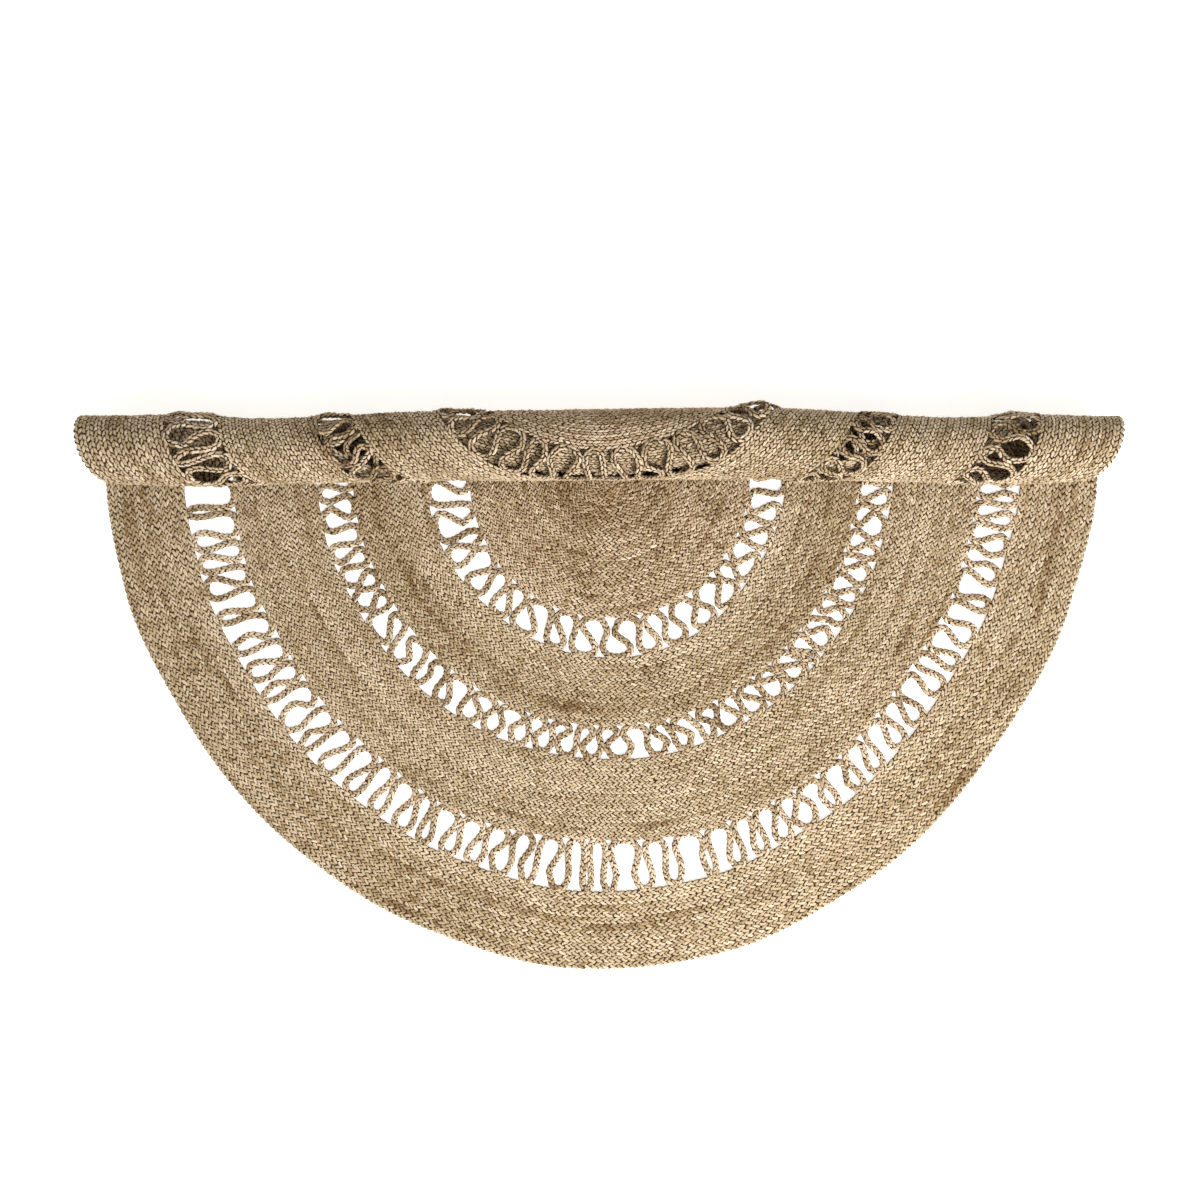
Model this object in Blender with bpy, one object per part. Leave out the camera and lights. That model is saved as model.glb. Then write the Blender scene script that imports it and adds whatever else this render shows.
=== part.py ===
# Round braided jute rug, with its near half flat on the floor and its far half rolled up.
#
# The rug is sewn from seven pieces: a solid braided disc, three solid braided bands around it,
# and between them three openwork rings, each one plaited cord laid in standing loops.
# Metres, +Z up. The origin is the rug's centre on its underside, the viewer stands at -Y, and
# the far half is rolled over the top towards the viewer, so that its underside shows.
#
# Each piece is first made flat, then unrolled coordinates take the place of its plan ones:
# u runs along the roll, and q runs across it, as a distance on the floor before the crease and
# as an angle times ROLL_GAUGE past it. The folds are straight lines there, so they are cut
# there, and last each point is laid on the floor or wound into the roll.

import math

import bmesh
import bpy

RUG_RADIUS = 0.900
DISC_RADIUS = 0.270
INNER_BAND = (0.333, 0.465)
OUTER_BAND = (0.531, 0.682)
BORDER_INSIDE = 0.761
THICKNESS = 0.008
CORD_WIDTH = 0.012
# Neighbours lie 0.3 mm apart, and the rest of this gap is for the flats of their round edges.
CORD_CLEARANCE = 0.0010
# A wound edge needs no point of its own this near the next ones, along the roll and across it.
MOST_ALONG = 0.022
MOST_ACROSS = 0.010
LEAST_TWIST = 0.00002

# The wound part: the underside faces out and starts on this radius, and one turn lies 3 mm
# inside the next. The outer turn has more folds than those inside it, which are smaller.
ROLL_GAUGE = 0.069
LAYER_PITCH = THICKNESS + 0.003
WIND = LAYER_PITCH / (2 * math.pi)
OUTER_TURN_FOLDS = 16
INNER_TURN_FOLDS = 12
TURNS = 3

# The sheet spreads sideways by this share on its way up the back of the roll.
SPREAD_SHARE = 0.019
SPREAD_END = math.pi / 2 * ROLL_GAUGE

# The roll from its left end to its right one. Its crease bows, and it is thicker where the
# openwork cords bulge.
# Columns: distance along the roll, distance of the crease from the middle, outside radius.
ROLL_SECTIONS = (
    (-0.840, 0.0287, 0.0670),
    (-0.724, 0.0272, 0.0704),
    (-0.600, 0.0270, 0.0641),
    (-0.260, 0.0358, 0.0679),
    (0.264, 0.0397, 0.0694),
    (0.620, 0.0293, 0.0636),
    (0.737, 0.0304, 0.0679),
    (0.859, 0.0319, 0.0636),
)

# The hand sewing leaves the rug a little out of round, and each ring in its own way.
# Columns: bearing in degrees clockwise from the right, then the share added to the radius at
# the disc's edge, the inner band's inner edge, the middle loops, the outer band's outer edge,
# the border's inner edge and the rim.
UNEVENNESS = (
    (0, 0.000, 0.015, 0.008, 0.012, 0.012, 0.012),
    (16, 0.000, 0.010, 0.000, 0.000, -0.006, -0.006),
    (34, 0.003, 0.003, -0.006, -0.017, -0.020, -0.020),
    (58, 0.008, 0.033, 0.000, 0.002, -0.004, -0.004),
    (76, 0.003, 0.038, 0.006, 0.004, 0.015, 0.015),
    (94, -0.010, 0.028, -0.002, -0.006, 0.019, 0.019),
    (112, -0.020, 0.008, -0.006, 0.000, 0.004, 0.004),
    (130, -0.040, -0.013, -0.012, -0.020, -0.003, -0.003),
    (150, -0.066, -0.008, -0.020, -0.018, -0.005, -0.005),
    (166, -0.078, -0.012, -0.006, -0.002, 0.010, 0.010),
    (180, -0.088, -0.014, -0.002, 0.002, 0.020, 0.020),
    (200, -0.050, 0.005, 0.002, 0.003, 0.012, 0.024),
    (230, -0.020, 0.035, 0.000, 0.000, 0.000, 0.000),
    (285, -0.036, 0.040, 0.000, 0.000, 0.000, 0.000),
    (305, -0.006, 0.038, 0.000, 0.000, 0.000, 0.000),
    (325, 0.010, 0.022, 0.004, 0.002, 0.004, 0.004),
    (360, 0.000, 0.015, 0.008, 0.012, 0.012, 0.012),
)
UNEVEN_RADII = (DISC_RADIUS, INNER_BAND[0], 0.500, OUTER_BAND[1], BORDER_INSIDE, RUG_RADIUS)

# Half of one loop, from the middle of its head at the outer side to the middle of its foot at
# the inner side. The other half mirrors it.
# Columns: share of the loop's pitch from its middle, share of the ring's depth.
LOOP_HALF = (
    (0.13, 1.00),
    (0.33, 0.76),
    (0.15, 0.18),
    (0.28, 0.00),
)
LEAN = 0.05  # how far a loop leans, as a share of its pitch


def between(at, rows):
    """The two rows of a table that this place lies between, and its share of the way."""
    for before, after in zip(rows, rows[1:]):
        if at <= after[0]:
            break
    share = (at - before[0]) / (after[0] - before[0])
    return before[1:], after[1:], min(max(share, 0.0), 1.0)


def section_at(u):
    """The crease's distance and the roll's outside radius, at u along the roll."""
    before, after, share = between(u, ROLL_SECTIONS)
    return tuple(a + (b - a) * share for a, b in zip(before, after))


def out_of_round(u, v, radius):
    """How much longer than the true circle's this radius is, at a plan point's bearing."""
    before, after, share = between(math.degrees(math.atan2(-v, u)) % 360, UNEVENNESS)
    ease = (1 - math.cos(math.pi * share)) / 2
    shares = [a + (b - a) * ease for a, b in zip(before, after)]
    (inside,), (outside,), share = between(radius, list(zip(UNEVEN_RADII, shares)))
    return 1 + inside + (outside - inside) * share


def unroll(u, v):
    """Plan point to unrolled coordinates."""
    past = v - section_at(u)[0]
    if past <= 0:
        return u, past
    angle = (ROLL_GAUGE - math.sqrt(ROLL_GAUGE**2 - 2 * WIND * past)) / WIND
    return u, angle * ROLL_GAUGE


def plan(u, q):
    """Unrolled coordinates to plan point."""
    crease = section_at(u)[0]
    if q <= 0:
        return u, crease + q
    angle = q / ROLL_GAUGE
    return u, crease + ROLL_GAUGE * angle - WIND * angle**2 / 2


def lay(u, q, height):
    """A point of the sheet, height above its underside, on the floor or in the roll."""
    crease, outside = section_at(u)
    if q <= 0:
        return u, crease + q, height
    x = u * (1 + SPREAD_SHARE * min(q / SPREAD_END, 1.0))
    angle = q / ROLL_GAUGE
    radius = (ROLL_GAUGE - WIND * angle) * outside / ROLL_GAUGE - height
    return x, crease + radius * math.sin(angle), outside - radius * math.cos(angle)


def cut_line(bm, faces, point, normal):
    edges = {edge for face in faces for edge in face.edges}
    verts = {vert for face in faces for vert in face.verts}
    bmesh.ops.bisect_plane(
        bm, geom=[*faces, *edges, *verts], dist=1e-6, plane_co=point, plane_no=normal
    )


def fold_lines():
    """Each fold's distance across the unrolled sheet."""
    turn = 2 * math.pi * ROLL_GAUGE
    outer = [turn * k / OUTER_TURN_FOLDS for k in range(OUTER_TURN_FOLDS)]
    inner = [turn * (1 + k / INNER_TURN_FOLDS) for k in range(TURNS * INNER_TURN_FOLDS)]
    return outer + inner


def cut_across(bm, distances):
    """Cuts the unrolled sheet along folds, which run the length of the roll."""
    lowest = min(vert.co.y for vert in bm.verts)
    highest = max(vert.co.y for vert in bm.verts)
    for distance in distances:
        if lowest < distance < highest:
            cut_line(bm, bm.faces[:], (0, distance, 0), (0, 1, 0))


def cut_along(bm):
    """Cuts the wound part of the unrolled sheet where the roll's section changes."""
    for along, _, _ in ROLL_SECTIONS:
        wound = [face for face in bm.faces if face.calc_center_median().y > 0]
        cut_line(bm, wound, (along, 0, 0), (1, 0, 0))


def is_fold(edge):
    """Whether an edge lies along one of the lines that the sheet was cut on."""
    first, second = (vert.co for vert in edge.verts)
    if abs(first.y - second.y) < 1e-6:
        return True
    same = abs(first.x - second.x) < 1e-6
    return same and any(abs(first.x - row[0]) < 1e-6 for row in ROLL_SECTIONS)


def to_unrolled(bm):
    for vert in bm.verts:
        u, v = vert.co.xy
        stretch = out_of_round(u, v, math.hypot(u, v))
        vert.co.x, vert.co.y = unroll(u * stretch, v * stretch)


def true_edge(bm, radii):
    """Moves the points that a cut put on a chord out to the round edge."""
    for vert in bm.verts:
        if not vert.is_boundary:
            continue
        u, v = plan(vert.co.x, vert.co.y)
        edges = [radius * out_of_round(u, v, radius) for radius in radii]
        scale = min((edge / math.hypot(u, v) for edge in edges), key=lambda scale: abs(scale - 1))
        vert.co.x, vert.co.y = unroll(u * scale, v * scale)


def thin_out(bm):
    """Drops a point of the wound edge that lies close between two others."""
    for vert in bm.verts[:]:
        if vert.co.y < 0 or len(vert.link_edges) != 2:
            continue
        ends = [edge.other_vert(vert).co - vert.co for edge in vert.link_edges]
        if all(abs(end.x) < MOST_ALONG and abs(end.y) < MOST_ACROSS for end in ends):
            bmesh.ops.dissolve_verts(bm, verts=[vert])


def wind_up(bm):
    """Lays every point, and splits each twisted face so that it caves in and never bulges."""
    for vert in bm.verts:
        vert.co = lay(*vert.co)
    bmesh.ops.recalc_face_normals(bm, faces=bm.faces)
    for face in bm.faces[:]:
        if len(face.verts) != 4:
            continue
        a, b, c, d = face.verts
        twist = (a.co + c.co - b.co - d.co).dot(face.normal)
        if abs(twist) > LEAST_TWIST:
            bmesh.ops.connect_vert_pair(bm, verts=(a, c) if twist < 0 else (b, d))


def jute(name, colour, roughness):
    material = bpy.data.materials.new(name)
    material.use_nodes = True
    shader = material.node_tree.nodes["Principled BSDF"]
    shader.inputs["Base Color"].default_value = (*colour, 1)
    shader.inputs["Roughness"].default_value = roughness
    shader.inputs["Metallic"].default_value = 0.0
    return material


def add_piece(name, bm, material):
    mesh = bpy.data.meshes.new(name)
    bm.to_mesh(mesh)
    bm.free()
    mesh.materials.append(material)
    piece = bpy.data.objects.new(name, mesh)
    rug.objects.link(piece)
    return piece


def band(name, inside, outside, segments, material):
    """A solid braided disc or band: its round outline, folded, thickened and wound up."""
    bm = bmesh.new()
    bmesh.ops.create_circle(bm, cap_ends=inside == 0, segments=segments, radius=outside)
    if inside:
        bmesh.ops.create_circle(bm, cap_ends=False, segments=segments, radius=inside)
        bmesh.ops.bridge_loops(bm, edges=bm.edges[:])
    to_unrolled(bm)
    cut_across(bm, fold_lines())
    cut_along(bm)
    spare = [edge for edge in bm.edges if len(edge.link_faces) == 2 and not is_fold(edge)]
    bmesh.ops.dissolve_edges(bm, edges=spare, use_verts=False)
    thin_out(bm)
    true_edge(bm, [inside, outside] if inside else [outside])
    raised = bmesh.ops.extrude_face_region(bm, geom=bm.faces[:], use_keep_orig=True)
    for item in raised["geom"]:
        if isinstance(item, bmesh.types.BMVert):
            item.co.z = THICKNESS
    wind_up(bm)
    return add_piece(name, bm, material)


def loop_path(inside, outside, count):
    """Plan points of a cord's middle line, once round the ring in standing loops."""
    half = CORD_WIDTH / 2 + CORD_CLEARANCE
    foot_turn = (0.5 - LOOP_HALF[-1][0]) * 2 * math.pi / count
    low = (inside + half) / math.cos(foot_turn)
    high = outside - half
    points = []
    for loop in range(count):
        lean = LEAN * math.sin(2.4 * loop)
        right = list(LOOP_HALF)
        left = [(-share, depth) for share, depth in reversed(LOOP_HALF)]
        for share, depth in [*left, *right]:
            turn = (loop + share + lean * (depth > 0.5)) * 2 * math.pi / count
            radius = low + (high - low) * depth
            points.append((radius * math.cos(turn), radius * math.sin(turn)))
    return points


def middle_points(points):
    """Adds the middle of each long side of a loop that bends round the roll."""
    longest = 1.8 * CORD_WIDTH
    filled = []
    for (u0, v0), (u1, v1) in zip(points, [*points[1:], points[0]]):
        filled.append((u0, v0))
        if v0 > 0 and abs(v1 - v0) > longest:
            filled.append(((u0 + u1) / 2, (v0 + v1) / 2))
    return filled


def flat_curve(name, points):
    curve = bpy.data.curves.new(name, "CURVE")
    curve.dimensions = "2D"
    curve.fill_mode = "NONE"
    spline = curve.splines.new("POLY")
    spline.points.add(len(points) - 1)
    for point, (u, v) in zip(spline.points, points):
        point.co = (u, v, 0, 1)
    spline.use_cyclic_u = True
    return bpy.data.objects.new(name, curve)


def loop_ring(name, inside, outside, count, material):
    """An openwork ring: one flat plaited cord in standing loops, wound up with the sheet."""
    across = CORD_WIDTH / 2
    up = THICKNESS / 2
    corners = [(across, up), (-across, up), (-across, -up), (across, -up)]
    profile = flat_curve(name + "_section", corners)
    path = flat_curve(name + "_path", middle_points(loop_path(inside, outside, count)))
    path.data.bevel_mode = "OBJECT"
    path.data.bevel_object = profile
    for helper in (profile, path):
        guides.objects.link(helper)
    bpy.context.view_layer.update()
    graph = bpy.context.evaluated_depsgraph_get()
    swept = bpy.data.meshes.new_from_object(path.evaluated_get(graph))
    bm = bmesh.new()
    bm.from_mesh(swept)
    bmesh.ops.remove_doubles(bm, verts=bm.verts, dist=0.0001)
    for vert in bm.verts:
        vert.co.z += THICKNESS / 2
    to_unrolled(bm)
    cut_across(bm, (0.0, SPREAD_END))
    wind_up(bm)
    for helper in (path, profile):
        bpy.data.objects.remove(helper)
    bpy.data.meshes.remove(swept)
    return add_piece(name, bm, material)


for old in list(bpy.data.objects):
    bpy.data.objects.remove(old)
rug = bpy.data.collections.new("round_jute_rug")
guides = bpy.data.collections.new("guides")
bpy.context.scene.collection.children.link(rug)
bpy.context.scene.collection.children.link(guides)

braid = jute("braided_jute", (0.42, 0.30, 0.19), 0.92)
cord = jute("plaited_jute_cord", (0.47, 0.35, 0.23), 0.90)

band("centre_disc", 0, DISC_RADIUS, 72, braid)
loop_ring("inner_loops", DISC_RADIUS, INNER_BAND[0], 28, cord)
band("inner_band", *INNER_BAND, 80, braid)
loop_ring("middle_loops", INNER_BAND[1], OUTER_BAND[0], 50, cord)
band("outer_band", *OUTER_BAND, 96, braid)
loop_ring("outer_loops", OUTER_BAND[1], BORDER_INSIDE, 70, cord)
band("border", BORDER_INSIDE, RUG_RADIUS, 96, braid)
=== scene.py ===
import math

import bpy
import mathutils
import numpy as np
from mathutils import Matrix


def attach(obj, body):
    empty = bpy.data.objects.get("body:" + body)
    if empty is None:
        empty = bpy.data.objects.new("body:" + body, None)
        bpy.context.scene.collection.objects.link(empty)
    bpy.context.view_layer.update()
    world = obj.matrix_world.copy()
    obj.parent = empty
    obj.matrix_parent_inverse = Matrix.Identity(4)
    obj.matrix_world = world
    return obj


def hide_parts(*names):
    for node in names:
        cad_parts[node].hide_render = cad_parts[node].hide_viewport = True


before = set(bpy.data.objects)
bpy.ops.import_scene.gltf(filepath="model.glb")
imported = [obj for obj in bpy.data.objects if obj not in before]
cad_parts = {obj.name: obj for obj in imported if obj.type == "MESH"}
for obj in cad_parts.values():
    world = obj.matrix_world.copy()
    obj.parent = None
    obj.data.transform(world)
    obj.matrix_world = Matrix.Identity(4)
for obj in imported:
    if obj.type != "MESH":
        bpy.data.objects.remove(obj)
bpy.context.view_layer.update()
bpy.ops.object.select_all(action="DESELECT")


# The centre disc: one flat plait of three jute strands, wound in a spiral from the middle out
# and sewn side by side. Its near part lies flat up to the crease, and the rest is wound up with
# the rug, so that the underside shows on the roll.

# Distances from the middle, as on a truly round rug. The looped rings lie between the bands.
DISC_RADIUS = 0.270
INNER_BAND = (0.333, 0.465)
OUTER_BAND = (0.531, 0.682)
BORDER = (0.761, 0.900)

# The wound part: the underside faces out and starts on the gauge's radius, and one turn lies
# 3 mm inside the next.
THICKNESS = 0.008
TURN_GAP = 0.003
ROLL_GAUGE = 0.069
WIND = (THICKNESS + TURN_GAP) / (2 * math.pi)
SPREAD_SHARE = 0.019  # how much the rug spreads sideways on its way up the back of the roll

# The roll from its left end to its right one.
# Columns: distance along the roll, distance of the crease from the middle, outside radius.
ROLL_SECTIONS = np.array((
    (-0.840, 0.0287, 0.0670),
    (-0.724, 0.0272, 0.0704),
    (-0.600, 0.0270, 0.0641),
    (-0.260, 0.0358, 0.0679),
    (0.264, 0.0397, 0.0694),
    (0.620, 0.0293, 0.0636),
    (0.737, 0.0304, 0.0679),
    (0.859, 0.0319, 0.0636),
))

# The hand sewing leaves the rug a little out of round, and each ring in its own way.
# Columns: bearing in degrees clockwise from the right, then the share added to the radius at
# each of the radii below.
UNEVENNESS = np.array((
    (0, 0.000, 0.015, 0.008, 0.012, 0.012, 0.012),
    (16, 0.000, 0.010, 0.000, 0.000, -0.006, -0.006),
    (34, 0.003, 0.003, -0.006, -0.017, -0.020, -0.020),
    (58, 0.008, 0.033, 0.000, 0.002, -0.004, -0.004),
    (76, 0.003, 0.038, 0.006, 0.004, 0.015, 0.015),
    (94, -0.010, 0.028, -0.002, -0.006, 0.019, 0.019),
    (112, -0.020, 0.008, -0.006, 0.000, 0.004, 0.004),
    (130, -0.040, -0.013, -0.012, -0.020, -0.003, -0.003),
    (150, -0.066, -0.008, -0.020, -0.018, -0.005, -0.005),
    (166, -0.078, -0.012, -0.006, -0.002, 0.010, 0.010),
    (180, -0.088, -0.014, -0.002, 0.002, 0.020, 0.020),
    (200, -0.050, 0.005, 0.002, 0.003, 0.012, 0.024),
    (230, -0.020, 0.035, 0.000, 0.000, 0.000, 0.000),
    (285, -0.036, 0.040, 0.000, 0.000, 0.000, 0.000),
    (305, -0.006, 0.038, 0.000, 0.000, 0.000, 0.000),
    (325, 0.010, 0.022, 0.004, 0.002, 0.004, 0.004),
    (360, 0.000, 0.015, 0.008, 0.012, 0.012, 0.012),
))
UNEVEN_RADII = (DISC_RADIUS, INNER_BAND[0], 0.500, OUTER_BAND[1], BORDER[0], BORDER[1])


def eased(at, table, column):
    """A column of a table at these places, with a soft step from each row to the next."""
    places = table[:, 0]
    values = table[:, column]
    row = np.clip(np.searchsorted(places, at, side="right") - 1, 0, len(places) - 2)
    share = np.clip((at - places[row]) / (places[row + 1] - places[row]), 0, 1)
    return values[row] + (values[row + 1] - values[row]) * (1 - np.cos(math.pi * share)) / 2


def true_shape(u, v):
    """Plan points of a round rug, moved to their places on this uneven one."""
    bearing = np.degrees(np.arctan2(-v, u)) % 360
    radius = np.hypot(u, v)
    stretch = 1.0
    for column, only_here in enumerate(np.eye(len(UNEVEN_RADII)), start=1):
        share = np.interp(radius, UNEVEN_RADII, only_here)
        stretch = stretch + share * eased(bearing, UNEVENNESS, column)
    return u * stretch, v * stretch


def turned(u, v):
    """The angle round the roll at true plan points, 0 up to the crease."""
    past = np.maximum(v - eased(u, ROLL_SECTIONS, 1), 0)
    return (ROLL_GAUGE - np.sqrt(ROLL_GAUGE**2 - 2 * WIND * past)) / WIND


def lay(u, v, height):
    """True plan points, and their height above the underside, on the floor or wound up."""
    angle = turned(u, v)
    crease = eased(u, ROLL_SECTIONS, 1)
    outside = eased(u, ROLL_SECTIONS, 2)
    radius = (ROLL_GAUGE - WIND * angle) * outside / ROLL_GAUGE - height
    x = u * (1 + SPREAD_SHARE * np.minimum(angle / (math.pi / 2), 1))
    y = np.where(angle > 0, crease + radius * np.sin(angle), v)
    z = np.where(angle > 0, outside - radius * np.cos(angle), height)
    return np.stack((x, y, z), axis=-1)


# The points round a plait's section: three on the face that shows, and one on the other.
# Columns: place across from 1 to -1, and 1 for the upper face or -1 for the underside.
UPPER_SHOWS = np.array(((1, 0), (0.5, 1), (0, 1), (-0.5, 1), (-1, 0), (0, -1)))
UNDER_SHOWS = np.array(((1, 0), (0, 1), (-1, 0), (-0.5, -1), (0, -1), (0.5, -1)))
STEPS = 4  # sections to a stitch where it shows
HIDDEN_STEPS = 2  # sections to a stitch in the turns inside the roll
HIDDEN_FROM = 2.25 * math.pi  # the angle round the roll where those start
NUDGE = 1e-6  # in stitches, so that a whole number of them isn't rounded down
LOWEST = 0.0002  # height of the lowest points above the floor

# How the strands lie. The widths are shares of a plait's half width, and the dips and the
# hidden face's height are shares of half its thickness.
CHEVRON = 0.64  # how far a strand runs on from the plait's middle to its edge, in stitches
CREST_LEAN = 0.8  # under 1, a strand comes up steeply and goes down slowly
CREST_SPREAD = 1.08  # how much further out than half way to the edge its crest lies
TUCK = 0.34  # where a strand dips under the next
MIDDLE_DIP = 0.56  # the line down the middle of a plait
SEAM_DIP = 0.38  # the seam between two rows, on the face that shows
HIDDEN_FACE = 0.97  # the face that doesn't show, which is left plain
ZIGZAG = 0.14  # how far the middle line swings to each side
SCALLOP = 0.10  # how far the strands make a plait's edge wave
UNEVEN_LIFT = 0.0006  # how unevenly high the strands are pulled, in metres
UNEVEN_STITCH = 0.16  # how unevenly long the stitches are, in stitches
TAPER = 1.5  # how many stitches a plait's end takes to thin out
TIP = 0.05  # the section left at the tip, as a share of the whole one

# Every strand has its own tone, from 0, brown, to 1, pale. Bundles of jute differ as well.
TONE_SPREAD = 0.12
BUNDLE = 9  # stitches from one bundle to the next
BUNDLE_SPREAD = 0.06
DARK_BUNDLES = 0.07  # share of the bundles that are darker
DARKER = 0.24
UNDERSIDE = 0.06  # tone added where the underside shows on the roll, which makes it lighter there
UNDERSIDE_FROM = 0.08  # distance past the middle where that starts, and it is full at twice it

# The rows were plaited from lighter and darker jute.
# Columns: distance from the middle, tone added.
ROW_TONES = np.array((
    (0.000, -0.20),
    (0.110, -0.17),
    (0.170, -0.01),
    (0.183, -0.10),
    (0.215, -0.04),
    (0.270, 0.02),
    (0.333, 0.07),
    (0.365, 0.08),
    (0.400, -0.05),
    (0.430, -0.12),
    (0.465, -0.02),
    (0.531, -0.03),
    (0.585, 0.11),
    (0.625, 0.02),
    (0.660, -0.04),
    (0.682, 0.08),
    (0.761, 0.09),
    (0.800, 0.02),
    (0.838, -0.08),
    (0.857, 0.00),
    (0.900, -0.03),
))
draws = np.random.default_rng(7)


def measured(line, closed):
    """The length of a line up to each of its points, and its direction there."""
    gaps = np.linalg.norm(np.diff(line, axis=0), axis=1)
    lengths = np.concatenate(([0], np.cumsum(gaps)))
    slopes = np.gradient(line, lengths, axis=0)
    if closed:
        slopes[0] = slopes[-1] = (line[1] - line[-2]) / (lengths[1] + gaps[-1])
    return lengths, slopes / np.linalg.norm(slopes, axis=1)[:, None]


def read_off(table, lengths, distances):
    """Each column of a table with a row for each point of a line, at distances along it."""
    return [np.interp(distances, lengths, column) for column in table.T]


def stations(line, lengths, stitch, closed, steps):
    """Places along a plait where its section is set, in stitches, closer where it shows."""
    total = lengths[-1]
    stitches = int(round(total / stitch))
    along = (np.arange(stitches) + 0.5) / stitches * total
    hidden = turned(*read_off(line, lengths, along)) > HIDDEN_FROM
    places = []
    for number in range(stitches):
        count = HIDDEN_STEPS if hidden[number] else steps
        places.extend(number + step / count for step in range(count))
    if not closed:
        places.append(stitches)
    return np.array(places), stitches


def strand_tones(stitches, out_at, far_at, underside):
    """A tone for each strand of each stitch, from where it lies and the bundle it comes from."""
    count = stitches // BUNDLE + 3
    bundles = draws.normal(0, BUNDLE_SPREAD, count) - DARKER * (draws.random(count) < DARK_BUNDLES)
    drift = np.interp(np.arange(stitches + 2), BUNDLE * np.arange(count), bundles)
    drift += np.interp(out_at, ROW_TONES[:, 0], ROW_TONES[:, 1])
    drift += underside * np.clip(far_at / UNDERSIDE_FROM - 1, 0, 1)
    return draws.normal(0.5, TONE_SPREAD, (stitches + 2, 4)) + drift[:, None]


def strand_at(across, face):
    """Which of a stitch's four runs of strand is here, and how many stitches later it comes up.

    There is one to the left and one to the right of the middle, on each face.
    """
    later = np.where(across * np.where(face < 0, -1, 1) > 0, 0, 0.5)
    return (across > 0).astype(int) + 2 * (face < 0), later


def raised(across, face, places, lifts, half_width, scallops):
    """How wide the plait is at each point of its sections, and each point's height."""
    strand, later = strand_at(across, face)
    phase = places[:, None] + later
    swell = np.sin(math.pi * (phase % 1) ** CREST_LEAN)
    shows = np.sign(face.sum(axis=1))[:, None]
    middle = (across == 0) & (face != 0)
    edge = face == 0
    plain = middle & (face == -shows)
    scallop = np.where(across > 0, *scallops)
    width = half_width * np.where(edge, 1 - scallop + 2 * scallop * swell, CREST_SPREAD)
    share = np.where(middle, MIDDLE_DIP, TUCK + (1 - TUCK) * swell) * face
    share = np.where(edge, SEAM_DIP * shows, np.where(plain, face * HIDDEN_FACE, share))
    lift = lifts[np.floor(phase).astype(int) % len(lifts), strand]
    height = THICKNESS / 2 * (1 + share) + np.where(edge | plain, 0, face * lift)
    return width, height


def corners(values):
    """A value for each corner of the faces between each section and the next."""
    beside = np.roll(values, -1, axis=1)
    return values, beside, np.roll(beside, -1, axis=0), np.roll(values, -1, axis=0)


def skin(across, face, places, stitches, tones, closed):
    """The faces between each section and the next, with a tone for each and their patterns.

    A pattern has two numbers for each corner. The first counts stitches, and the second goes
    from the plait's middle, 0, to its edge, 1, so that each strand runs along the second.
    """
    rings, columns = across.shape
    made = rings if closed else rings - 1
    points = np.arange(rings * columns).reshape(rings, columns)
    faces = np.stack(corners(points), axis=-1)[:made].reshape(-1, 4).tolist()

    # A face's strand is the one between its points, and its tone is that strand's.
    strand, later = strand_at(across + np.roll(across, -1, axis=1), face + np.roll(face, -1, axis=1))
    number = np.floor(places[:, None] + later + NUDGE).astype(int) % len(tones)
    tone = tones[number, strand][:made].reshape(-1)

    here = places[:, None] + later
    after = np.append(places[1:], stitches)[:, None] + later
    counted = np.stack((here, here, after, after), axis=-1)
    out = np.stack(corners(np.abs(across)), axis=-1)
    pattern = np.stack((counted, out), axis=-1)[:made].reshape(-1, 2)
    if not closed:
        faces += [points[0].tolist(), points[-1, ::-1].tolist()]
        tone = np.append(tone, (0.5, 0.5))
        pattern = np.vstack((pattern, np.zeros((2 * columns, 2))))
    return faces, tone, pattern


def sewn_down(u, v):
    """A plait that is sewn down all along doesn't stand off the roll."""
    return np.zeros(u.shape)


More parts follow.
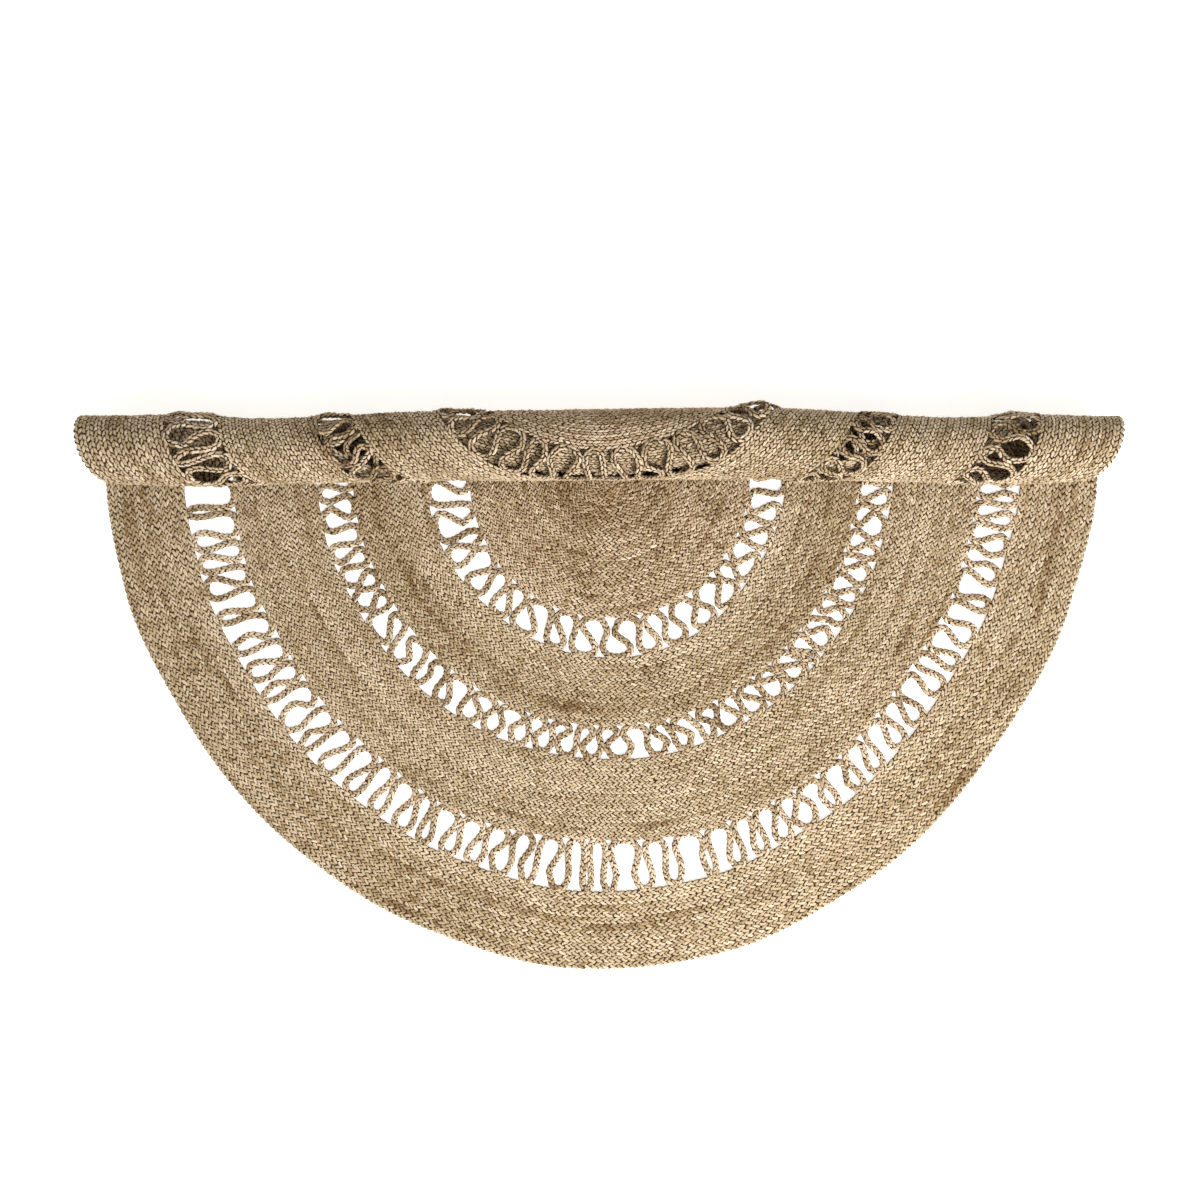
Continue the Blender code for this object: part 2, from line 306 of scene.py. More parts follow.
def plait(points, stitch, half_width, closed=True, scallops=(SCALLOP, SCALLOP), rise=sewn_down,
          shape=true_shape, section=None, steps=STEPS):
    """The points of one plait, and its faces with their tones and patterns.

    It follows these plan points, which shape takes to their true places. scallops are the waves
    of its left and right edges, and rise tells how far it stands off the roll. A section is
    given for a lone cord, and otherwise it has the face that shows there.
    """
    line = np.array(points)
    if closed:
        line = np.vstack((line, line[:1]))
    lengths, slopes = measured(line, closed)
    total = lengths[-1]
    true_line = np.stack(shape(*line.T), axis=-1)
    places, stitches = stations(true_line, lengths, stitch, closed, steps)
    pitch = total / stitches

    if section is None:
        rolled = turned(*read_off(true_line, lengths, (places + 0.5) * pitch % total)) > 0
        sections = np.where(rolled[:, None, None], UNDER_SHOWS[None], UPPER_SHOWS[None])
    else:
        sections = np.repeat(section[None], len(places), axis=0)
    across, face = sections[:, :, 0], sections[:, :, 1]

    every_stitch = np.arange(stitches + 2) * pitch
    out_at = np.interp(every_stitch, lengths, np.hypot(*line.T))
    far_at = np.interp(every_stitch, lengths, true_line[:, 1])
    tones = strand_tones(stitches, out_at, far_at, UNDERSIDE if section is None else 0)
    lifts = UNEVEN_LIFT * draws.normal(0, 1, (stitches + 2, 4))
    wander = draws.normal(0, UNEVEN_STITCH, stitches + 1)

    width, height = raised(across, face, places, lifts, half_width, scallops)
    if not closed:
        ends = np.minimum(places, stitches - places)[:, None]
        taper = np.clip(ends / TAPER, TIP, 1) ** 0.5
        width = width * taper
        height = THICKNESS / 2 + (height - THICKNESS / 2) * taper

    warped = places + np.interp(places, np.arange(stitches + 1), wander)
    along = (warped[:, None] + CHEVRON * np.abs(across)) * pitch
    along = along % total if closed else np.clip(along, 0, total)
    x, y, dx, dy = read_off(np.hstack((line, slopes)), lengths, along)
    zigzag = np.where(across == 0, ZIGZAG * np.cos(2 * math.pi * places)[:, None], 0)
    offset = (across + zigzag) * width
    u, v = shape(x - dy * offset, y + dx * offset)
    spots = lay(u, v, height - rise(u, v) * (turned(u, v) > 0))
    spots[:, :, 2] = np.maximum(spots[:, :, 2], LOWEST)
    return spots.reshape(-1, 3), *skin(across, face, places, stitches, tones, closed)


def sew(name, plaits, material):
    """One piece from several plaits."""
    spots, faces, tones, patterns = zip(*plaits)
    firsts = np.cumsum([0, *(len(part) for part in spots)]).tolist()
    joined = [
        [first + corner for corner in face]
        for first, part in zip(firsts, faces)
        for face in part
    ]
    mesh = bpy.data.meshes.new(name)
    mesh.from_pydata(np.concatenate(spots), [], joined)
    pattern = mesh.uv_layers.new(name="strand")
    pattern.uv.foreach_set("vector", np.concatenate(patterns).astype(np.float32).reshape(-1))
    tone = mesh.attributes.new("tone", "FLOAT", "FACE")
    tone.data.foreach_set("value", np.concatenate(tones).astype(np.float32))
    mesh.materials.append(material)
    mesh.validate()
    mesh.shade_smooth()
    piece = bpy.data.objects.new(name, mesh)
    bpy.context.scene.collection.objects.link(piece)
    return piece


def linear(colour):
    """An sRGB hex colour as linear numbers."""
    parts = (int(colour[place:place + 2], 16) / 255 for place in (1, 3, 5))
    return (*(part / 12.92 if part <= 0.04045 else ((part + 0.055) / 1.055) ** 2.4
              for part in parts), 1)


def feed(node, inputs):
    """Sets a node's inputs. Each is a value, or the output that feeds it."""
    for name, value in inputs.items():
        if isinstance(value, bpy.types.NodeSocket):
            node.id_data.links.new(value, node.inputs[name])
        else:
            node.inputs[name].default_value = value


def add_node(tree, kind, inputs, **settings):
    """Adds a node with its settings, and feeds it."""
    node = tree.nodes.new(kind)
    for name, value in settings.items():
        setattr(node, name, value)
    feed(node, inputs)
    return node


# The jute's patterns. Sizes over which they change, in metres:
OUTLINE_SIZE = 0.008
TIGHTNESS_SIZE = 0.005
PATCH_SIZE = 0.06
RELIEF = 0.0020  # how far the strands stand out of the gaps between them

# Along the plait in stitches, and across it in half widths:
OUTLINE_WANDER = (0.30, 0.24)
FIBRES = (7.0, 0.8)  # how many there are to each of these, so that they run across the plait
NARROWING = 1.15  # how much a strand narrows towards its ends

# How strong they are:
TIGHTNESS = 0.40  # how much the gaps round the strands differ
FIBRE_TONE = 0.5
PATCH_TONE = 0.35
FIBRE_RELIEF = 0.35  # a fibre's height, as a share of how far a strand stands out


def plaited_jute(name, brown, tan, straw, pale, painted_gap_shade):
    """Natural jute, retted, spun loosely and plaited by hand.

    It is matt and a little pale at grazing angles, from loose fibres. Each strand is a blunt
    leaf with fine streaks along it, and the dips between the strands are painted dark, as
    painted shade.
    """
    material = bpy.data.materials.new(name)
    material.use_nodes = True
    tree = material.node_tree
    place = add_node(tree, "ShaderNodeTexCoord", {})
    strand = add_node(tree, "ShaderNodeUVMap", {}, uv_map="strand")

    # A strand's outline is uneven.
    wobble = add_node(tree, "ShaderNodeTexNoise",
                      {"Vector": place.outputs["Object"], "Scale": 1 / OUTLINE_SIZE, "Detail": 1.0})
    moved = add_node(tree, "ShaderNodeVectorMath",
                     {0: wobble.outputs["Color"], 1: (*OUTLINE_WANDER, 0), 2: strand.outputs["UV"]},
                     operation="MULTIPLY_ADD")
    outline = add_node(tree, "ShaderNodeVectorMath",
                       {0: moved.outputs["Vector"], 1: (*(part / 2 for part in OUTLINE_WANDER), 0)},
                       operation="SUBTRACT")
    parts = add_node(tree, "ShaderNodeSeparateXYZ", {"Vector": outline.outputs["Vector"]})

    # Fibres run the length of a strand. Real ones are finer than these and wouldn't show.
    stretched = add_node(tree, "ShaderNodeMapping",
                         {"Vector": strand.outputs["UV"], "Scale": (*FIBRES, 1)})
    fibres = add_node(tree, "ShaderNodeTexNoise",
                      {"Vector": stretched.outputs["Vector"], "Scale": 1.0, "Detail": 2.0,
                       "Roughness": 0.6})

    # Seen from above a strand is a leaf, one stitch wide and narrower towards its two ends.
    along = add_node(tree, "ShaderNodeMath", {0: parts.outputs["X"], 1: 0.5}, operation="PINGPONG")
    over = add_node(tree, "ShaderNodeMath", {0: parts.outputs["Y"], 1: 0.5}, operation="PINGPONG")
    from_middle = add_node(tree, "ShaderNodeMath", {0: 0.5, 1: over.outputs["Value"]},
                           operation="SUBTRACT")
    narrower = add_node(tree, "ShaderNodeMath",
                        {0: from_middle.outputs["Value"], 1: from_middle.outputs["Value"]},
                        operation="MULTIPLY")
    leaf = add_node(tree, "ShaderNodeMath",
                    {0: narrower.outputs["Value"], 1: -NARROWING, 2: along.outputs["Value"]},
                    operation="MULTIPLY_ADD")

    # The gap round it is painted dark, as painted shade, and it is tight in one place and deep in
    # the next.
    tightness = add_node(tree, "ShaderNodeTexNoise",
                         {"Vector": place.outputs["Object"], "Scale": 1 / TIGHTNESS_SIZE,
                          "Detail": 0.0})
    inside = add_node(tree, "ShaderNodeMath",
                      {0: tightness.outputs["Fac"], 1: TIGHTNESS, 2: leaf.outputs["Value"]},
                      operation="MULTIPLY_ADD")
    full = add_node(tree, "ShaderNodeMapRange",
                    {"Value": inside.outputs["Value"], "From Min": 0.19, "From Max": 0.34},
                    interpolation_type="SMOOTHSTEP")

    # The tone is the strand's own. It drifts a little over a hand's width, and fibres streak it.
    patches = add_node(tree, "ShaderNodeTexNoise",
                       {"Vector": place.outputs["Object"], "Scale": 1 / PATCH_SIZE, "Detail": 3.0,
                        "Roughness": 0.55})
    tone = add_node(tree, "ShaderNodeAttribute", {}, attribute_name="tone")
    shifted = add_node(tree, "ShaderNodeMath",
                       {0: patches.outputs["Fac"], 1: PATCH_TONE, 2: tone.outputs["Fac"]},
                       operation="MULTIPLY_ADD")
    streaked = add_node(tree, "ShaderNodeMath",
                        {0: fibres.outputs["Fac"], 1: FIBRE_TONE, 2: shifted.outputs["Value"]},
                        operation="MULTIPLY_ADD")
    centred = add_node(tree, "ShaderNodeMath",
                       {0: streaked.outputs["Value"], 1: (PATCH_TONE + FIBRE_TONE) / 2},
                       operation="SUBTRACT")
    ramp = add_node(tree, "ShaderNodeValToRGB", {"Fac": centred.outputs["Value"]})
    stops = ramp.color_ramp.elements
    stops[0].position = 0.0
    stops[0].color = linear(brown)
    stops[1].position = 1.0
    stops[1].color = linear(pale)
    stops.new(0.33).color = linear(tan)
    stops.new(0.66).color = linear(straw)
    # Painted shade: the gaps round the strands are mixed to the dark dip colour, which stands in for
    # the shade that falls there.
    shaded = add_node(tree, "ShaderNodeMix",
                      {"Factor": full.outputs["Result"], "A": linear(painted_gap_shade),
                       "B": ramp.outputs["Color"]}, data_type="RGBA")

    height = add_node(tree, "ShaderNodeMath",
                      {0: fibres.outputs["Fac"], 1: FIBRE_RELIEF, 2: full.outputs["Result"]},
                      operation="MULTIPLY_ADD")
    relief = add_node(tree, "ShaderNodeBump",
                      {"Strength": 0.9, "Distance": RELIEF, "Height": height.outputs["Value"]})
    feed(tree.nodes["Principled BSDF"], {
        "Base Color": shaded.outputs["Result"],
        "Normal": relief.outputs["Normal"],
        "Roughness": 0.86,
        "Specular IOR Level": 0.3,
        "Sheen Weight": 0.05,
        "Sheen Roughness": 0.5,
    })
    return material


DISC_ROWS = 26
DISC_STITCH = 0.010
ROUND_TURNS = 12  # the first turns wind out evenly, and from here on each one is a ring
STEP_BEARING = 201  # where each ring steps out to the next, under the roll
STEP_TURNS = 0.055
TURN_POINTS = 120
OVERLAP = 1.11  # how much wider a plait is than its row, so that the rows press together


def spiral(outside, rows):
    """Plan points of a plait's middle line, wound from the middle out to a round edge."""
    turns = np.arange(0.0, rows - STEP_TURNS, 1 / TURN_POINTS)
    whole = np.floor(turns)
    step = np.interp(whole, (0, ROUND_TURNS), (1.0, STEP_TURNS))
    share = np.clip((turns - whole - 1 + step) / step, 0, 1)
    radii = outside / rows * (whole + 0.5 + share**2 * (3 - 2 * share))
    angles = 2 * math.pi * turns - math.radians(STEP_BEARING)
    return np.stack((radii * np.cos(angles), radii * np.sin(angles)), axis=-1)


# The last colour is painted shade for the dips between the strands.
disc_jute = plaited_jute("disc_plaited_jute", "#80623C", "#B49A76", "#DAC2A4", "#F4E0C4", "#3A2006")
disc_plait = plait(spiral(DISC_RADIUS, DISC_ROWS), DISC_STITCH,
                   DISC_RADIUS / DISC_ROWS / 2 * OVERLAP, closed=False)
centre_disc = sew("centre_disc_plait", [disc_plait], disc_jute)
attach(centre_disc, "root")
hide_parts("centre_disc")


# The inner loops: one flat plaited jute cord, laid in tall narrow loops round the disc. Each
# loop's round head is sewn to the band outside it, its neck is drawn in, and its feet run along
# the disc, so that open gaps are left in and between the loops.

# A cord shows from both sides. Columns as for the disc's plait.
BOTH_SHOW = np.array(
    ((1, 0), (0.5, 1), (0, 1), (-0.5, 1), (-1, 0), (-0.5, -1), (0, -1), (0.5, -1))
)
CORD_HALF_WIDTH = 0.0060
CORD_STITCH = 0.0102
CORD_STEPS = 6
CORD_SCALLOP = 0.15
SEWN_IN = 0.0022  # how far a cord's edge is sewn into the rows beside it

# How the loops are laid.
NECK_AT = 0.24  # where a neck is narrowest, as a share of the ring's depth from its feet
HEAD_AT = 0.77  # the same for where a head is widest
NECK_LENGTHS = (-0.15, 0.28)  # how long necks stay narrow, as such a share, and under 0 is none
SHORTEST_NECK = 0.08
BEND = 0.27  # the bends at a loop's foot and head, as a share of its width
WIDEST_BEND = 0.012
TOUCHING = 0.0061  # half the distance between two cords' middle lines where they touch
TOUCH_SHARE = 0.65  # share of the necks whose sides touch
WIDEST_NECK = 0.0105
NECK_STRAY = 0.0050  # how far a neck strays from under its head
NARROWEST_HEAD = 0.0095
HEAD_ROOM = 0.95  # how near a head comes to half way to the next, in half widths of the cord
CLOSEST_HEADS = 0.0100  # distance between two cords' middle lines where heads press together

# The smooth line through a cord's guide points.
LINE_FITS = 4  # how often it is corrected towards them
LINE_POINTS = 8  # its points for each of them

# How far a looped cord stands off the roll: least where it is sewn, and bulging in between.
SEWN_RISE = 0.0015
BULGE = 0.0030
BULGE_SPREAD = 0.0020
BULGE_WAVES = (95, 71)  # how fast the bulge changes along the roll and across it, per metre
BULGE_START = 1  # where the wave across it starts, in radians

# One loop at the back of the roll has come loose and stands clear of it.
# Its place is that of its head, and its size is the distance over which it falls back.
LOOSE_PLACE = (0.272, 0.175)
LOOSE_SIZE = 0.032
LOOSE_RISE = 0.0095


def fill_hidden(heads, spacing):
    """Adds evenly spaced heads where the hidden turns of the roll leave the list open."""
    filled = []
    for here, after in zip(heads, [*heads[1:], heads[0] + 360]):
        parts = max(int(round((after - here) / spacing)), 1)
        filled += [here + (after - here) * part / parts for part in range(parts)]
    return filled


def drawn_loops(heads, middle, half_widths, own_draws):
    """Rows of a loop chart for loops whose heads are at these bearings, as a maker lays them."""
    heads = np.array(heads)
    count = len(heads)
    to_degrees = 180 / math.pi / middle
    room = np.minimum((heads - np.roll(heads, 1)) % 360, (np.roll(heads, -1) - heads) % 360)
    half = own_draws.uniform(*half_widths, count) * to_degrees
    half = np.clip(half, NARROWEST_HEAD * to_degrees,
                   room / 2 - HEAD_ROOM * CORD_HALF_WIDTH * to_degrees)
    gap = np.where(own_draws.random(count) < TOUCH_SHARE, TOUCHING,
                   own_draws.uniform(TOUCHING, WIDEST_NECK, count)) * to_degrees
    neck = heads + own_draws.normal(0.0, NECK_STRAY, count) * to_degrees
    return np.stack((neck, gap, heads - half, heads + half), axis=-1)


def smooth_line(guide):
    """A closed smooth line through these points, made of parabolas between control points."""
    controls = guide.copy()
    for _ in range(LINE_FITS):
        reached = (np.roll(controls, 1, axis=0) + 6 * controls + np.roll(controls, -1, axis=0)) / 8
        controls += guide - reached
    share = np.arange(LINE_POINTS)[:, None] / LINE_POINTS
    before = (np.roll(controls, 1, axis=0) + controls) / 2
    after = (controls + np.roll(controls, -1, axis=0)) / 2
    return np.concatenate([
        (1 - share) ** 2 * start + 2 * share * (1 - share) * control + share**2 * end
        for start, control, end in zip(before, controls, after)
    ])


def looped_line(chart, inside, outside, own_draws, heads_inside):
    """True plan points of the cord's middle line, once round the ring in tall narrow loops.

    The chart has a row for each loop, in degrees clockwise from the right: the middle of its
    neck, half its neck's width, and the left and right side of its head. The heads are at the
    ring's outer edge, or all at its inner one.
    """
    middle = (inside + outside) / 2
    neck, gap, left, right = (chart * math.pi / 180 * middle).T
    around = 2 * math.pi * middle
    # Heads that would lie over each other are pressed together side by side.
    apart = np.append(left[1:], left[0] + around) - right
    push = np.maximum(CLOSEST_HEADS - apart, 0) / 2
    right = right - push
    left = left + np.roll(push, 1)
    # Each foot runs from the last loop's neck, its start, to this loop's, its end.
    start = np.roll(neck + gap, 1)
    start[0] -= around
    end = neck - gap
    foot = np.minimum(BEND * (end - start), WIDEST_BEND)
    head = np.minimum(BEND * (right - left), WIDEST_BEND)
    # Some necks stay narrow for a while.
    length = np.maximum(own_draws.uniform(*NECK_LENGTHS, len(chart)), 0)
    guide = []
    for loop in range(len(chart)):
        levels = [NECK_AT]
        if length[loop] >= SHORTEST_NECK:
            levels.append(NECK_AT + length[loop])
        guide += [
            (start[loop] + foot[loop], 0.0),
            (end[loop] - foot[loop], 0.0),
            *((end[loop], level) for level in levels),
            (left[loop], HEAD_AT),
            (left[loop] + head[loop], 1.0),
            (right[loop] - head[loop], 1.0),
            (right[loop], HEAD_AT),
            *((end[loop] + 2 * gap[loop], level) for level in reversed(levels)),
        ]
    guide = np.array(guide)
    bearing = -guide[:, 0] / middle
    level = 1 - guide[:, 1] if heads_inside else guide[:, 1]
    ways = np.stack((np.cos(bearing), np.sin(bearing)))
    low = np.hypot(*true_shape(*(ways * inside))) + CORD_HALF_WIDTH - SEWN_IN
    high = np.hypot(*true_shape(*(ways * outside))) - CORD_HALF_WIDTH + SEWN_IN
    return smooth_line((ways * (low + (high - low) * level)).T)


def as_drawn(u, v):
    """Plan points that are already in their true places."""
    return u, v


def standing_off(inside, outside):
    """Tells how far the looped cord between these two edges stands off the roll."""
    def rise(u, v):
        way = np.stack((u, v)) / np.hypot(u, v)
        low, high = (np.hypot(*true_shape(*(way * edge))) for edge in (inside, outside))
        share = np.clip((np.hypot(u, v) - low) / (high - low), 0, 1)
        along = np.sin(BULGE_WAVES[0] * u)
        across = np.sin(BULGE_WAVES[1] * v + BULGE_START)
        bulge = BULGE + BULGE_SPREAD * along * across
        away = np.hypot(u - LOOSE_PLACE[0], v - LOOSE_PLACE[1]) / LOOSE_SIZE
        return SEWN_RISE + bulge * np.sin(math.pi * share) + LOOSE_RISE * np.exp(-away**2)
    return rise


# The last colour is painted shade for the dips between the strands.
cord_jute = plaited_jute("cord_plaited_jute", "#785A36", "#AC926E", "#D4BD9F", "#F0DCC0", "#2E1804")


def loops(name, node, ring, charted, heads_rolled, spacing, half_widths, seed, heads_inside):
    """The looped cord of one ring, in place of its solid.

    charted are its loops on the flat half, and heads_rolled the bearings of heads on the roll.
    The hidden ones are about spacing degrees apart, and half the width of each head that isn't
    charted is drawn from half_widths.
    """
    own_draws = np.random.default_rng(seed)
    heads = (*(charted[:, 2] + charted[:, 3]) / 2, *heads_rolled)
    chart = drawn_loops(fill_hidden(heads, spacing), sum(ring) / 2, half_widths, own_draws)
    chart[:len(charted)] = charted
    cord = plait(looped_line(chart, *ring, own_draws, heads_inside), CORD_STITCH, CORD_HALF_WIDTH,
                 scallops=(CORD_SCALLOP, CORD_SCALLOP), rise=standing_off(*ring), shape=as_drawn,
                 section=BOTH_SHOW, steps=CORD_STEPS)
    piece = sew(name, [cord], cord_jute)
    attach(piece, "root")
    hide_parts(node)
    return piece


# The loops on the flat half, in degrees clockwise from the right.
# Columns: middle of the neck, half the neck's width, left and right side of the head.
INNER_CHART = np.array((
    (4.6, 2.3, 0.6, 7.2),
    (16.0, 1.1, 10.7, 17.4),
    (24.7, 1.1, 19.3, 26.0),
    (34.9, 1.15, 28.5, 38.1),
    (43.2, 1.15, 40.3, 49.0),
    (54.8, 1.1, 51.6, 59.0),
    (66.1, 1.7, 62.5, 69.4),
    (75.9, 1.15, 71.9, 78.3),
    (87.3, 1.75, 81.3, 90.3),
    (99.0, 1.1, 92.8, 100.6),
    (108.9, 1.1, 103.4, 109.3),
    (119.9, 1.1, 113.7, 122.1),
    (129.2, 1.1, 124.5, 130.7),
    (138.3, 1.15, 135.2, 142.2),
    (149.6, 1.1, 146.8, 153.6),
    (158.4, 2.1, 155.9, 165.6),
    (169.9, 2.4, 168.6, 177.0),
))

# Bearings of the heads that show on the roll.
INNER_HEADS_ROLLED = (231, 241.5, 251, 262, 273.5, 284, 293.5, 304.5, 315)
inner_loops = loops("inner_loop_cord", "inner_loops", (DISC_RADIUS, INNER_BAND[0]), INNER_CHART,
                    INNER_HEADS_ROLLED, spacing=10.2, half_widths=(0.0150, 0.0215), seed=11,
                    heads_inside=False)


# The inner band: twelve rings of the same flat jute plait as the disc's, sewn side by side. Its
# first row is sewn to the heads of the inner loops, and its last one to the middle loops.

INNER_BAND_ROWS = 12
BAND_STITCH = 0.010
ROW_POINTS = 720
ROW_START = 0.7  # how much further round each row starts than the last, in radians

# The rows wander a little from round, most in the middle of a band.
# Columns: distance, waves once round, how far they move on from row to row, in radians.
ROW_WAVES = ((0.0006, 5, 0.3), (0.0005, 11, -0.4))
# The last colour is painted shade for the dips between the strands.
band_jute = plaited_jute("band_plaited_jute", "#7E603A", "#B09874", "#D1BC9D", "#E9D4B6", "#42280D")


def band(name, node, ring, rows, made, stitch, rim=SCALLOP):
    """Some of the rows of one solid band, side by side in its solid's place.

    The band has this many rows in all, and made are the numbers of the first one made here and
    of the one past the last. rim is the wave of the band's outer edge.
    """
    inside, outside = ring
    pitch = (outside - inside) / rows
    plaits = []
    for row in range(*made):
        angles = np.linspace(0, 2 * math.pi, ROW_POINTS + 1)[:-1] + row * ROW_START
        wander = sum(size * np.sin(waves * angles + lead * row) for size, waves, lead in ROW_WAVES)
        wander *= math.sin(math.pi * (row + 0.5) / rows)
        radii = inside + (row + 0.5) * pitch + wander
        line = np.stack((radii * np.cos(angles), radii * np.sin(angles)), axis=-1)
        scallops = (SCALLOP, rim if row == rows - 1 else SCALLOP)
        plaits.append(plait(line, stitch, pitch / 2 * OVERLAP, scallops=scallops))
    piece = sew(name, plaits, band_jute)
    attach(piece, "root")
    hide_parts(node)
    return piece


band("inner_band_plait", "inner_band", INNER_BAND, INNER_BAND_ROWS, (0, INNER_BAND_ROWS),
     BAND_STITCH)


# The middle loops: a second ring of the same jute cord, laid in smaller loops and sewn to the
# bands on both sides. They are counted by their heads at the ring's inner edge, next to the
# inner band.

# The loops on the flat half. Columns as in the inner ring's chart.
MIDDLE_CHART = np.array((
    (3.2, 0.70, 2.0, 6.1),
    (8.1, 0.70, 6.9, 11.6),
    (14.6, 0.70, 13.1, 17.6),
    (18.9, 0.72, 18.1, 21.8),
    (24.5, 0.70, 23.0, 27.8),
    (29.4, 0.70, 28.7, 32.4),
    (34.3, 1.05, 34.4, 38.0),
    (40.2, 0.72, 39.3, 43.4),
    (43.3, 0.70, 44.0, 48.1),
    (49.0, 0.70, 49.3, 53.3),
    (54.6, 0.70, 54.2, 58.2),
    (60.1, 0.72, 59.6, 63.0),
    (66.0, 0.76, 64.6, 68.8),
    (70.5, 1.25, 70.6, 74.5),
    (76.0, 0.98, 75.9, 79.2),
    (82.6, 1.80, 80.7, 85.7),
    (89.9, 0.72, 87.1, 91.0),
    (95.0, 0.72, 92.4, 95.6),
    (100.2, 0.74, 97.5, 101.3),
    (105.2, 0.80, 102.8, 106.7),
    (110.8, 1.20, 107.8, 113.3),
    (116.5, 0.82, 114.7, 119.7),
    (122.9, 1.50, 121.1, 126.4),
    (129.2, 1.60, 127.7, 131.7),
    (135.0, 1.45, 134.0, 139.0),
    (141.3, 0.82, 141.5, 145.7),
    (149.0, 0.72, 148.0, 151.7),
    (154.7, 0.70, 153.3, 157.2),
    (160.3, 0.78, 158.9, 162.5),
    (166.1, 1.50, 164.0, 168.1),
    (173.0, 0.72, 170.0, 174.7),
    (178.0, 0.80, 176.2, 179.8),
))

# Bearings of the heads that show on the roll.
MIDDLE_HEADS_ROLLED = (197.5, 204.9, 212.2, 218.8, 224.5, 317, 323, 328.8, 335, 342)
middle_loops = loops("middle_loop_cord", "middle_loops", (INNER_BAND[1], OUTER_BAND[0]),
                     MIDDLE_CHART, MIDDLE_HEADS_ROLLED, spacing=5.8, half_widths=(0.0115, 0.0180),
                     seed=12, heads_inside=True)


# The outer band: fourteen rings of the same flat jute plait, sewn side by side round the middle
# loops. It is the widest band, and here it is two pieces of seven rows, which meet in a seam
# like any other.

OUTER_BAND_ROWS = 14


def band_in_halves(name, node, ring, rows, stitch, rim=SCALLOP):
    """A wide band in two pieces, its inner rows and its outer ones."""
    half = rows // 2
    band(name + "_inner_rows", node, ring, rows, (0, half), stitch)
    band(name + "_outer_rows", node, ring, rows, (half, rows), stitch, rim=rim)


band_in_halves("outer_band_plait", "outer_band", OUTER_BAND, OUTER_BAND_ROWS, BAND_STITCH)


# The outer loops: the third ring of the same jute cord, with the smallest loops, sewn to the
# outer band and the border. They are counted by their heads at the ring's inner edge, next to
# the outer band.

# The loops on the flat half. Columns as in the inner ring's chart.
OUTER_CHART = np.array((
    (2.4, 0.60, 1.3, 3.7),
    (5.3, 0.55, 4.5, 7.1),
    (8.6, 0.60, 7.6, 10.6),
    (12.8, 0.78, 11.1, 14.0),
    (17.3, 1.05, 15.1, 19.2),
    (21.5, 1.20, 19.9, 23.3),
    (26.7, 0.80, 24.6, 28.3),
    (30.5, 0.85, 29.2, 31.7),
    (35.4, 1.25, 33.2, 37.0),
    (40.1, 0.80, 38.0, 41.1),
    (44.6, 1.15, 42.1, 45.5),
    (48.9, 0.85, 46.7, 50.2),
    (53.0, 1.25, 50.4, 54.5),
    (57.0, 1.00, 55.1, 58.9),
    (61.6, 0.50, 59.5, 62.8),
    (65.4, 0.75, 62.9, 66.5),
    (68.9, 0.85, 67.0, 69.9),
    (72.9, 1.10, 70.7, 74.3),
    (77.2, 1.70, 74.9, 79.2),
    (82.1, 0.95, 80.7, 83.7),
    (86.9, 1.35, 84.8, 89.0),
    (90.9, 0.85, 89.6, 92.3),
    (94.0, 1.00, 92.7, 95.3),
    (98.7, 1.05, 96.4, 99.6),
    (102.6, 0.80, 100.8, 103.7),
    (106.8, 0.70, 104.6, 107.9),
    (110.5, 0.80, 108.5, 112.1),
    (114.5, 0.90, 112.4, 116.5),
    (117.9, 0.70, 116.7, 119.3),
    (122.1, 0.95, 120.2, 123.6),
    (126.3, 1.05, 124.5, 127.4),
    (130.7, 1.00, 128.3, 131.5),
    (135.5, 1.05, 132.9, 136.4),
    (139.2, 0.75, 136.8, 140.2),
    (144.2, 1.10, 141.6, 145.2),
    (147.9, 0.75, 146.0, 149.0),
    (152.2, 0.90, 149.8, 153.0),
    (156.6, 1.40, 154.1, 157.7),
    (160.7, 1.05, 158.6, 162.0),
    (165.2, 0.50, 162.9, 165.6),
    (168.4, 0.50, 166.7, 169.3),
    (172.5, 1.15, 170.2, 173.9),
    (176.7, 1.70, 174.6, 178.6),
))

# Bearings of the heads that show on the roll.
OUTER_HEADS_ROLLED = (182.4, 186.2, 190.7, 194.9, 198.5, 201.9, 205.5, 335, 338.8, 342.7, 346.9,
                      351.2, 355.9)
outer_loops = loops("outer_loop_cord", "outer_loops", (OUTER_BAND[1], BORDER[0]), OUTER_CHART,
                    OUTER_HEADS_ROLLED, spacing=4.1, half_widths=(0.0120, 0.0185), seed=13,
                    heads_inside=True)


# The border: twelve rings of flat jute plait in a slightly longer stitch, sewn side by side
# round the outer loops. The last row is the rug's rim. Nothing is sewn to its outer edge, so
# its strands stand out there in small waves.

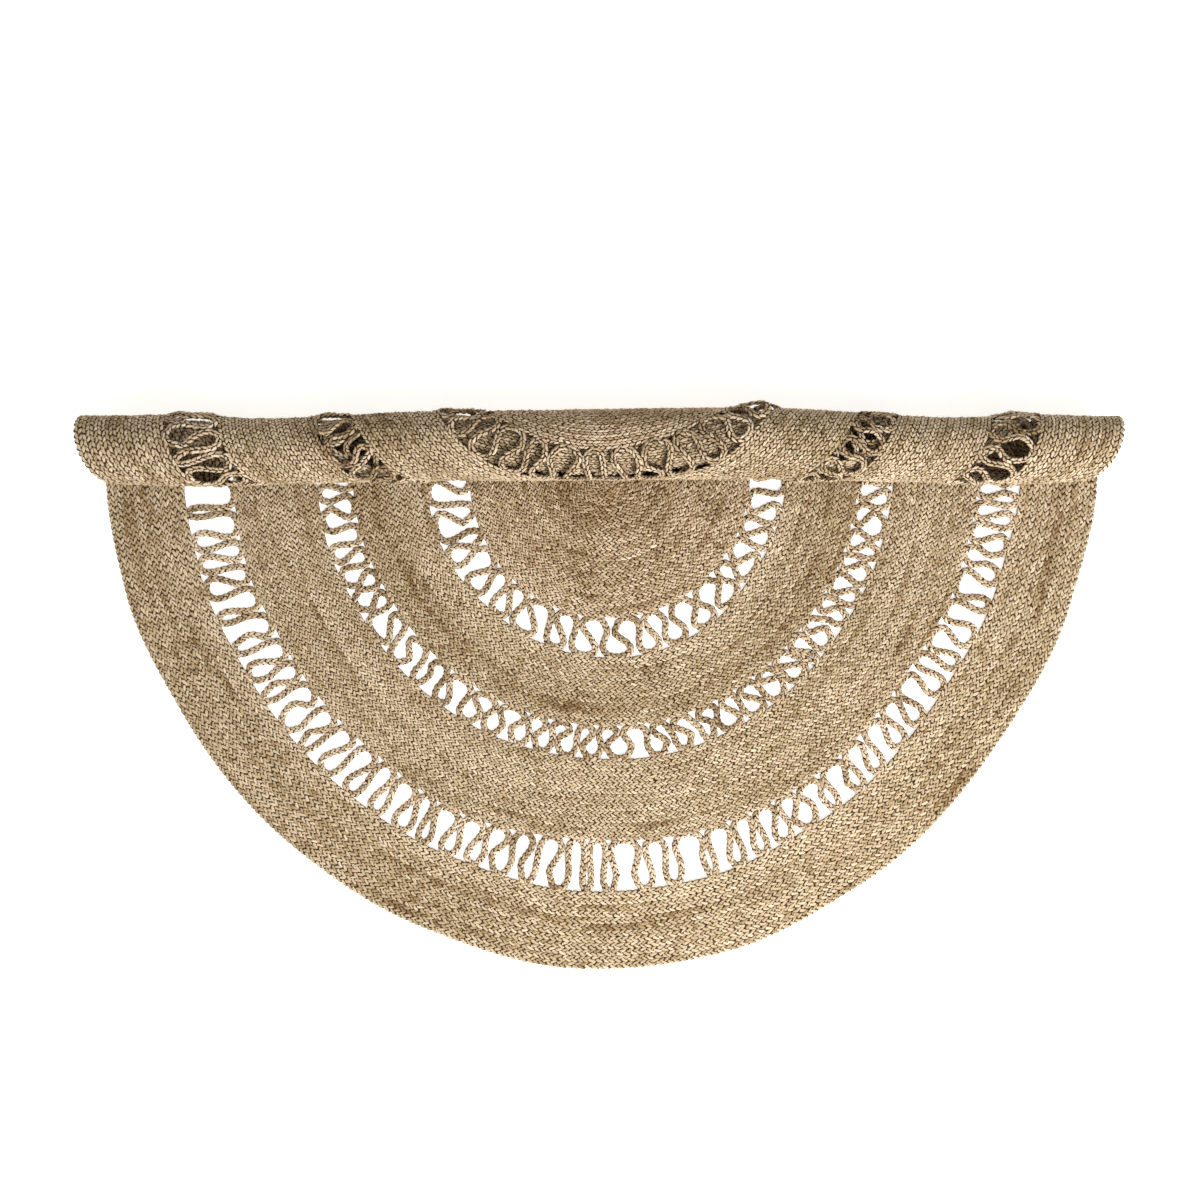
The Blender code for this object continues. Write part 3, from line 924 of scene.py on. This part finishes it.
BORDER_ROWS = 12
BORDER_STITCH = 0.0116
RIM_SCALLOP = 0.22
band_in_halves("border_plait", "border", BORDER, BORDER_ROWS, BORDER_STITCH,
               rim=RIM_SCALLOP)


# The floor: a pale matt painted board, on which the near half lies and the roll rests. It isn't
# part of the rug. It glows faintly, so that it stays white round the rug.

FLOOR_SIDE = 40
bpy.ops.mesh.primitive_plane_add(size=FLOOR_SIDE, location=(0, 0, 0))
floor = bpy.context.object
floor.name = "floor"
board = bpy.data.materials.new("pale_matt_painted_board")
board.use_nodes = True
feed(board.node_tree.nodes["Principled BSDF"], {
    "Base Color": linear("#F4F4F4"),
    "Roughness": 0.9,
    "Emission Color": linear("#FFFFFF"),
    "Emission Strength": 0.56,
})
floor.data.materials.append(board)


# The light: a bright even room, and one large soft lamp on the viewer's side, to the right. The
# lamp looks at the middle of the rug, and leaves the back of the roll in half shade.

LAMP_PLACE = (1.4, -2.3, 2.15)
LAMP_SIDE = 1.8
LAMP_POWER = 138
room = bpy.data.worlds.new("pale_room")
room.use_nodes = True
feed(room.node_tree.nodes["Background"], {"Color": linear("#FFFCF4"), "Strength": 0.58})
bpy.context.scene.world = room
bpy.ops.object.light_add(type="AREA", location=LAMP_PLACE)
lamp = bpy.context.object
lamp.name = "soft_lamp"
lamp.data.shape = "SQUARE"
lamp.data.size = LAMP_SIDE
lamp.data.energy = LAMP_POWER
lamp.rotation_euler = mathutils.Vector(LAMP_PLACE).to_track_quat("Z", "Y").to_euler()


# The camera: it hangs over the middle of what shows and looks straight down, as in the
# photograph. Unturned, it has the roll at the top of the picture.

CAMERA_PLACE = (-0.0069, -0.236, 1.76)
LENS = 28.5
SENSOR_WIDTH = 36
camera_data = bpy.data.cameras.new("camera")
camera_data.lens = LENS
camera_data.sensor_width = SENSOR_WIDTH
camera = bpy.data.objects.new("camera", camera_data)
camera.location = CAMERA_PLACE
bpy.context.scene.collection.objects.link(camera)
bpy.context.scene.camera = camera
bpy.context.scene.view_settings.view_transform = "Standard"
